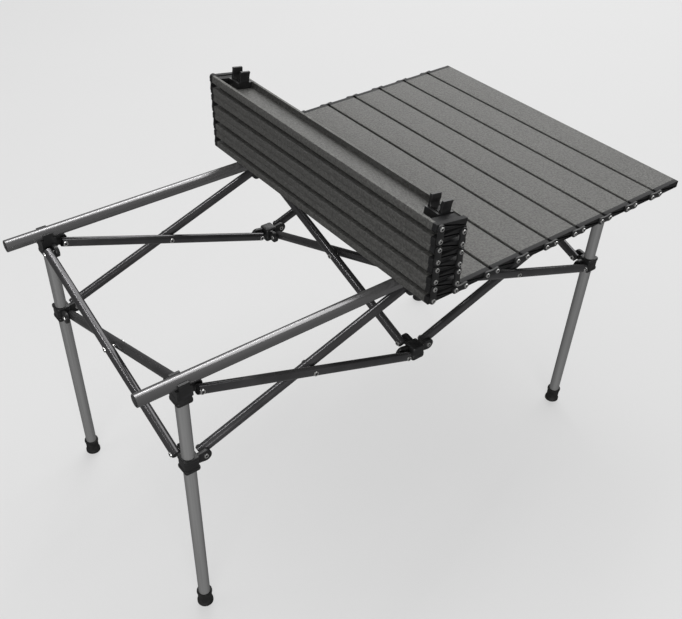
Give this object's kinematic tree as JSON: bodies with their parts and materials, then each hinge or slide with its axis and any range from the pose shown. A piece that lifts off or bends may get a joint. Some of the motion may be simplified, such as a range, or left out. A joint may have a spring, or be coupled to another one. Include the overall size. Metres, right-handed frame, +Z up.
{
  "type": "folding camping table",
  "caption": "Low roll-top folding table: slatted metal top, half unrolled on two rails, over a folding scissor frame with four tube legs and rubber feet.",
  "frame": {"origin": "on the floor, under the middle of the table's outline box", "axes": "+Z up, +X along the table's length towards the unrolled half of the top, -Y the front side"},
  "size_m": [0.9218, 0.5416, 0.609],
  "materials": {
    "slat": "textured grey powder coat on aluminium",
    "cap_plastic": "black moulded plastic",
    "link_plastic": "black moulded plastic",
    "clip_plastic": "black moulded plastic",
    "hub_plastic": "black moulded plastic",
    "rivet_steel": "bright tubular rivets",
    "leg_tube": "satin grey paint on steel tube",
    "brace_tube": "dark gunmetal paint on steel tube, bright rivets",
    "rail_tube": "gunmetal grey paint on steel tube",
    "foot_rubber": "matt black rubber"
  },
  "bodies": {
    "front_middle_hub_body": {"front_middle_hub": "hub_plastic"},
    "front_middle_knuckle_body": {"front_middle_knuckle": "hub_plastic"},
    "front_rail_body": {"front_rail": "rail_tube"},
    "front_left_leg_body": {"front_left_leg": "leg_tube", "front_left_foot": "foot_rubber", "front_left_hub": "hub_plastic"},
    "front_left_collar_body": {"front_left_collar": "hub_plastic"},
    "front_left_brace_corner_body": {"front_left_brace_from_corner": "brace_tube"},
    "front_left_brace_middle_body": {"front_left_brace_from_middle": "brace_tube"},
    "front_right_leg_body": {"front_right_leg": "leg_tube", "front_right_foot": "foot_rubber", "front_right_hub": "hub_plastic"},
    "front_right_collar_body": {"front_right_collar": "hub_plastic"},
    "front_right_brace_corner_body": {"front_right_brace_from_corner": "brace_tube"},
    "front_right_brace_middle_body": {"front_right_brace_from_middle": "brace_tube"},
    "back_middle_hub_body": {"back_middle_hub": "hub_plastic"},
    "back_middle_knuckle_body": {"back_middle_knuckle": "hub_plastic"},
    "back_rail_body": {"back_rail": "rail_tube"},
    "back_left_leg_body": {"back_left_leg": "leg_tube", "back_left_foot": "foot_rubber", "back_left_hub": "hub_plastic"},
    "back_left_collar_body": {"back_left_collar": "hub_plastic"},
    "back_left_brace_corner_body": {"back_left_brace_from_corner": "brace_tube"},
    "back_left_brace_middle_body": {"back_left_brace_from_middle": "brace_tube"},
    "back_right_leg_body": {"back_right_leg": "leg_tube", "back_right_foot": "foot_rubber", "back_right_hub": "hub_plastic"},
    "back_right_collar_body": {"back_right_collar": "hub_plastic"},
    "back_right_brace_corner_body": {"back_right_brace_from_corner": "brace_tube"},
    "back_right_brace_middle_body": {"back_right_brace_from_middle": "brace_tube"},
    "left_cross_front_body": {"left_cross_brace_from_front": "brace_tube"},
    "left_cross_back_body": {"left_cross_brace_from_back": "brace_tube"},
    "middle_cross_front_body": {"middle_cross_brace_from_front": "brace_tube"},
    "middle_cross_back_body": {"middle_cross_brace_from_back": "brace_tube"},
    "right_cross_front_body": {"right_cross_brace_from_front": "brace_tube"},
    "right_cross_back_body": {"right_cross_brace_from_back": "brace_tube"},
    "table_top_body": {"flat_slats": "slat", "slat_9": "slat", "flat_end_caps": "cap_plastic", "flat_links": "link_plastic", "flat_link_rivets": "rivet_steel", "slat_1_rail_clips": "clip_plastic"},
    "link_9_10_body": {"link_9_10": "link_plastic"},
    "slat_10_body": {"slat_10": "slat"},
    "link_10_11_body": {"link_10_11": "link_plastic"},
    "slat_11_body": {"slat_11": "slat"},
    "link_11_12_body": {"link_11_12": "link_plastic"},
    "slat_12_body": {"slat_12": "slat"},
    "link_12_13_body": {"link_12_13": "link_plastic"},
    "slat_13_body": {"slat_13": "slat"},
    "link_13_14_body": {"link_13_14": "link_plastic"},
    "slat_14_body": {"slat_14": "slat"},
    "link_14_15_body": {"link_14_15": "link_plastic"},
    "slat_15_body": {"slat_15": "slat"},
    "link_15_16_body": {"link_15_16": "link_plastic"},
    "slat_16_body": {"slat_16": "slat", "slat_16_rail_clips": "clip_plastic"}
  },
  "joints": [
    {"name": "frame_fold", "type": "hinge", "parent": "front_middle_hub_body", "child": "front_left_brace_middle_body", "pos_m": [-0.03185, -0.196, 0.444], "axis": [0, -1, 0], "range_deg": [0, 67]},
    {"name": "front_left_scissor", "type": "hinge", "parent": "front_left_brace_middle_body", "child": "front_left_brace_corner_body", "pos_m": [-0.20485, -0.196, 0.383], "axis": [0, -1, 0], "range_deg": [-136.68, 0]},
    {"name": "front_left_leg_hub_pivot", "type": "hinge", "parent": "front_left_brace_corner_body", "child": "front_left_leg_body", "pos_m": [-0.37785, -0.196, 0.444], "axis": [0, -1, 0], "range_deg": [0, 68.34]},
    {"name": "front_left_collar_pivot", "type": "hinge", "parent": "front_left_brace_middle_body", "child": "front_left_collar_body", "pos_m": [-0.37785, -0.196, 0.322], "axis": [0, -1, 0], "range_deg": [-68.34, 0]},
    {"name": "front_right_brace_from_middle_swing", "type": "hinge", "parent": "front_middle_hub_body", "child": "front_right_brace_middle_body", "pos_m": [0.01415, -0.196, 0.444], "axis": [0, -1, 0], "range_deg": [-68.34, 0]},
    {"name": "front_right_scissor", "type": "hinge", "parent": "front_right_brace_middle_body", "child": "front_right_brace_corner_body", "pos_m": [0.18715, -0.196, 0.383], "axis": [0, -1, 0], "range_deg": [0, 136.68]},
    {"name": "front_right_leg_hub_pivot", "type": "hinge", "parent": "front_right_brace_corner_body", "child": "front_right_leg_body", "pos_m": [0.36015, -0.196, 0.444], "axis": [0, -1, 0], "range_deg": [-68.34, 0]},
    {"name": "front_right_collar_pivot", "type": "hinge", "parent": "front_right_brace_middle_body", "child": "front_right_collar_body", "pos_m": [0.36015, -0.196, 0.322], "axis": [0, -1, 0], "range_deg": [0, 68.34]},
    {"name": "front_middle_knuckle_pivot", "type": "hinge", "parent": "front_left_brace_corner_body", "child": "front_middle_knuckle_body", "pos_m": [-0.03185, -0.196, 0.322], "axis": [0, -1, 0], "range_deg": [0, 68.34]},
    {"name": "middle_cross_from_front_swing", "type": "hinge", "parent": "front_middle_hub_body", "child": "middle_cross_front_body", "pos_m": [-0.00885, -0.173, 0.444], "axis": [-1, 0, 0], "range_deg": [0, 68.34]},
    {"name": "middle_cross_scissor", "type": "hinge", "parent": "middle_cross_front_body", "child": "middle_cross_back_body", "pos_m": [-0.00885, 0, 0.383], "axis": [-1, 0, 0], "range_deg": [-136.68, 0]},
    {"name": "back_middle_hub_pivot", "type": "hinge", "parent": "middle_cross_back_body", "child": "back_middle_hub_body", "pos_m": [-0.00885, 0.173, 0.444], "axis": [-1, 0, 0], "range_deg": [0, 68.34]},
    {"name": "back_middle_knuckle_pivot", "type": "hinge", "parent": "middle_cross_front_body", "child": "back_middle_knuckle_body", "pos_m": [-0.00885, 0.173, 0.322], "axis": [-1, 0, 0], "range_deg": [-68.34, 0]},
    {"name": "back_left_brace_from_middle_swing", "type": "hinge", "parent": "back_middle_hub_body", "child": "back_left_brace_middle_body", "pos_m": [-0.03185, 0.196, 0.444], "axis": [0, -1, 0], "range_deg": [0, 68.34]},
    {"name": "back_left_scissor", "type": "hinge", "parent": "back_left_brace_middle_body", "child": "back_left_brace_corner_body", "pos_m": [-0.20485, 0.196, 0.383], "axis": [0, -1, 0], "range_deg": [-136.68, 0]},
    {"name": "back_left_leg_hub_pivot", "type": "hinge", "parent": "back_left_brace_corner_body", "child": "back_left_leg_body", "pos_m": [-0.37785, 0.196, 0.444], "axis": [0, -1, 0], "range_deg": [0, 68.34]},
    {"name": "back_left_collar_pivot", "type": "hinge", "parent": "back_left_brace_middle_body", "child": "back_left_collar_body", "pos_m": [-0.37785, 0.196, 0.322], "axis": [0, -1, 0], "range_deg": [-68.34, 0]},
    {"name": "back_right_brace_from_middle_swing", "type": "hinge", "parent": "back_middle_hub_body", "child": "back_right_brace_middle_body", "pos_m": [0.01415, 0.196, 0.444], "axis": [0, -1, 0], "range_deg": [-68.34, 0]},
    {"name": "back_right_scissor", "type": "hinge", "parent": "back_right_brace_middle_body", "child": "back_right_brace_corner_body", "pos_m": [0.18715, 0.196, 0.383], "axis": [0, -1, 0], "range_deg": [0, 136.68]},
    {"name": "back_right_leg_hub_pivot", "type": "hinge", "parent": "back_right_brace_corner_body", "child": "back_right_leg_body", "pos_m": [0.36015, 0.196, 0.444], "axis": [0, -1, 0], "range_deg": [-68.34, 0]},
    {"name": "back_right_collar_pivot", "type": "hinge", "parent": "back_right_brace_middle_body", "child": "back_right_collar_body", "pos_m": [0.36015, 0.196, 0.322], "axis": [0, -1, 0], "range_deg": [0, 68.34]},
    {"name": "left_cross_from_front_swing", "type": "hinge", "parent": "front_left_leg_body", "child": "left_cross_front_body", "pos_m": [-0.40085, -0.173, 0.444], "axis": [-1, 0, 0], "range_deg": [0, 68.34]},
    {"name": "left_cross_scissor", "type": "hinge", "parent": "left_cross_front_body", "child": "left_cross_back_body", "pos_m": [-0.40085, 0, 0.383], "axis": [-1, 0, 0], "range_deg": [-136.68, 0]},
    {"name": "right_cross_from_front_swing", "type": "hinge", "parent": "front_right_leg_body", "child": "right_cross_front_body", "pos_m": [0.38315, -0.173, 0.444], "axis": [-1, 0, 0], "range_deg": [0, 68.34]},
    {"name": "right_cross_scissor", "type": "hinge", "parent": "right_cross_front_body", "child": "right_cross_back_body", "pos_m": [0.38315, 0, 0.383], "axis": [-1, 0, 0], "range_deg": [-136.68, 0]},
    {"name": "front_rail_lift", "type": "slide", "parent": "front_middle_hub_body", "child": "front_rail_body", "axis": [0, 0, 1], "range_m": [0, 0.1789]},
    {"name": "back_rail_lift", "type": "slide", "parent": "back_middle_hub_body", "child": "back_rail_body", "axis": [0, 0, 1], "range_m": [0, 0.1789]},
    {"name": "table_top_lift", "type": "slide", "parent": "front_rail_body", "child": "table_top_body", "axis": [0, 0, 1], "range_m": [0, 0.7157]},
    {"name": "top_unfold", "type": "hinge", "parent": "table_top_body", "child": "link_9_10_body", "pos_m": [-0.0586, 0, 0.4785], "axis": [0, -1, 0], "range_deg": [0, 90]},
    {"name": "slat_10_swing", "type": "hinge", "parent": "link_9_10_body", "child": "slat_10_body", "pos_m": [-0.0586, 0, 0.497], "axis": [0, -1, 0], "range_deg": [0, 100.64]},
    {"name": "link_10_11_swing", "type": "hinge", "parent": "slat_10_body", "child": "link_10_11_body", "pos_m": [-0.01856, 0, 0.4909], "axis": [0, -1, 0], "range_deg": [-100.64, 0]},
    {"name": "slat_11_swing", "type": "hinge", "parent": "link_10_11_body", "child": "slat_11_body", "pos_m": [-0.01856, 0, 0.5094], "axis": [0, -1, 0], "range_deg": [-91.8, 0]},
    {"name": "link_11_12_swing", "type": "hinge", "parent": "slat_11_body", "child": "link_11_12_body", "pos_m": [-0.05906, 0, 0.5094], "axis": [0, -1, 0], "range_deg": [0, 91.8]},
    {"name": "slat_12_swing", "type": "hinge", "parent": "link_11_12_body", "child": "slat_12_body", "pos_m": [-0.05906, 0, 0.5279], "axis": [0, -1, 0], "range_deg": [0, 100.64]},
    {"name": "link_12_13_swing", "type": "hinge", "parent": "slat_12_body", "child": "link_12_13_body", "pos_m": [-0.01902, 0, 0.5218], "axis": [0, -1, 0], "range_deg": [-100.64, 0]},
    {"name": "slat_13_swing", "type": "hinge", "parent": "link_12_13_body", "child": "slat_13_body", "pos_m": [-0.01902, 0, 0.5403], "axis": [0, -1, 0], "range_deg": [-91.8, 0]},
    {"name": "link_13_14_swing", "type": "hinge", "parent": "slat_13_body", "child": "link_13_14_body", "pos_m": [-0.05952, 0, 0.5403], "axis": [0, -1, 0], "range_deg": [0, 91.8]},
    {"name": "slat_14_swing", "type": "hinge", "parent": "link_13_14_body", "child": "slat_14_body", "pos_m": [-0.05952, 0, 0.5588], "axis": [0, -1, 0], "range_deg": [0, 100.64]},
    {"name": "link_14_15_swing", "type": "hinge", "parent": "slat_14_body", "child": "link_14_15_body", "pos_m": [-0.01949, 0, 0.5527], "axis": [0, -1, 0], "range_deg": [-100.64, 0]},
    {"name": "slat_15_swing", "type": "hinge", "parent": "link_14_15_body", "child": "slat_15_body", "pos_m": [-0.01949, 0, 0.5712], "axis": [0, -1, 0], "range_deg": [-91.8, 0]},
    {"name": "link_15_16_swing", "type": "hinge", "parent": "slat_15_body", "child": "link_15_16_body", "pos_m": [-0.05999, 0, 0.5712], "axis": [0, -1, 0], "range_deg": [0, 91.8]},
    {"name": "slat_16_swing", "type": "hinge", "parent": "link_15_16_body", "child": "slat_16_body", "pos_m": [-0.05999, 0, 0.5897], "axis": [0, -1, 0], "range_deg": [0, 100.64]}
  ],
  "couplings": [
    {"joint": "front_left_scissor", "follows": "frame_fold", "ratio": -2},
    {"joint": "front_left_leg_hub_pivot", "follows": "frame_fold", "ratio": 1},
    {"joint": "front_left_collar_pivot", "follows": "frame_fold", "ratio": -1},
    {"joint": "front_right_brace_from_middle_swing", "follows": "frame_fold", "ratio": -1},
    {"joint": "front_right_scissor", "follows": "frame_fold", "ratio": 2},
    {"joint": "front_right_leg_hub_pivot", "follows": "frame_fold", "ratio": -1},
    {"joint": "front_right_collar_pivot", "follows": "frame_fold", "ratio": 1},
    {"joint": "front_middle_knuckle_pivot", "follows": "frame_fold", "ratio": 1},
    {"joint": "middle_cross_from_front_swing", "follows": "frame_fold", "ratio": 1},
    {"joint": "middle_cross_scissor", "follows": "frame_fold", "ratio": -2},
    {"joint": "back_middle_hub_pivot", "follows": "frame_fold", "ratio": 1},
    {"joint": "back_middle_knuckle_pivot", "follows": "frame_fold", "ratio": -1},
    {"joint": "back_left_brace_from_middle_swing", "follows": "frame_fold", "ratio": 1},
    {"joint": "back_left_scissor", "follows": "frame_fold", "ratio": -2},
    {"joint": "back_left_leg_hub_pivot", "follows": "frame_fold", "ratio": 1},
    {"joint": "back_left_collar_pivot", "follows": "frame_fold", "ratio": -1},
    {"joint": "back_right_brace_from_middle_swing", "follows": "frame_fold", "ratio": -1},
    {"joint": "back_right_scissor", "follows": "frame_fold", "ratio": 2},
    {"joint": "back_right_leg_hub_pivot", "follows": "frame_fold", "ratio": -1},
    {"joint": "back_right_collar_pivot", "follows": "frame_fold", "ratio": 1},
    {"joint": "left_cross_from_front_swing", "follows": "frame_fold", "ratio": 1},
    {"joint": "left_cross_scissor", "follows": "frame_fold", "ratio": -2},
    {"joint": "right_cross_from_front_swing", "follows": "frame_fold", "ratio": 1},
    {"joint": "right_cross_scissor", "follows": "frame_fold", "ratio": -2},
    {"joint": "front_rail_lift", "follows": "frame_fold", "m_per_rad": 0.15},
    {"joint": "back_rail_lift", "follows": "frame_fold", "m_per_rad": 0.15},
    {"joint": "table_top_lift", "follows": "frame_fold", "m_per_rad": 0.6},
    {"joint": "slat_10_swing", "follows": "top_unfold", "ratio": 1.0963},
    {"joint": "link_10_11_swing", "follows": "top_unfold", "ratio": -1.0963},
    {"joint": "slat_11_swing", "follows": "top_unfold", "ratio": -1},
    {"joint": "link_11_12_swing", "follows": "top_unfold", "ratio": 1},
    {"joint": "slat_12_swing", "follows": "top_unfold", "ratio": 1.0963},
    {"joint": "link_12_13_swing", "follows": "top_unfold", "ratio": -1.0963},
    {"joint": "slat_13_swing", "follows": "top_unfold", "ratio": -1},
    {"joint": "link_13_14_swing", "follows": "top_unfold", "ratio": 1},
    {"joint": "slat_14_swing", "follows": "top_unfold", "ratio": 1.0963},
    {"joint": "link_14_15_swing", "follows": "top_unfold", "ratio": -1.0963},
    {"joint": "slat_15_swing", "follows": "top_unfold", "ratio": -1},
    {"joint": "link_15_16_swing", "follows": "top_unfold", "ratio": 1},
    {"joint": "slat_16_swing", "follows": "top_unfold", "ratio": 1.0963}
  ]
}
